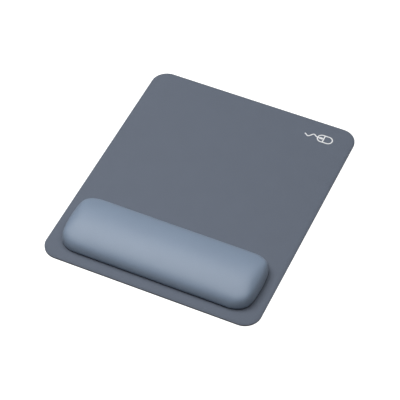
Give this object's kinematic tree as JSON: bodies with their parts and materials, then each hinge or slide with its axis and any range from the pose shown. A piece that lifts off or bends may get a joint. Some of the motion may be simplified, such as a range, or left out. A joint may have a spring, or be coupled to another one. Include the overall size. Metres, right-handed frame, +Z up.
{
  "type": "mouse mat with wrist rest",
  "caption": "Flat rounded-corner mouse mat with a soft, cloth-covered foam wrist rest bonded along its front edge.",
  "frame": {"origin": "on the desk, under the middle of the mat", "axes": "+Z up; +Y from the user towards the back of the mat, so the wrist rest lies along the -Y edge; +X to the user's right"},
  "size_m": [0.2, 0.24, 0.0199],
  "materials": {
    "nonslip_base": "matt dark rubber with a fine raised grip pattern underneath",
    "bond_film": "thin milky hot-melt film",
    "mat_core": "dark closed-cell foam, die-cut edge",
    "mat_cloth": "fine close-knit polyester, blue-grey, matt",
    "white_print": "thin white printed ink",
    "adhesive_pad": "double-sided adhesive pad",
    "wrist_cover": "smooth stretched cover cloth, light blue-grey, soft sheen",
    "backing_sheet": "dark dense foam board",
    "memory_foam": "open-cell slow-recovery polyurethane foam"
  },
  "bodies": {
    "root": {"nonslip_base_sheet": "nonslip_base", "base_bond_film": "bond_film", "mat_core_sheet": "mat_core", "cloth_bond_film": "bond_film", "mat_cloth": "mat_cloth", "printed_mark": "white_print", "wrist_adhesive_pad": "adhesive_pad", "wrist_cover": "wrist_cover", "hem_glue_ring": "bond_film", "wrist_backing_sheet": "backing_sheet", "foam_bond_film": "bond_film", "memory_foam_core": "memory_foam"}
  },
  "joints": []
}
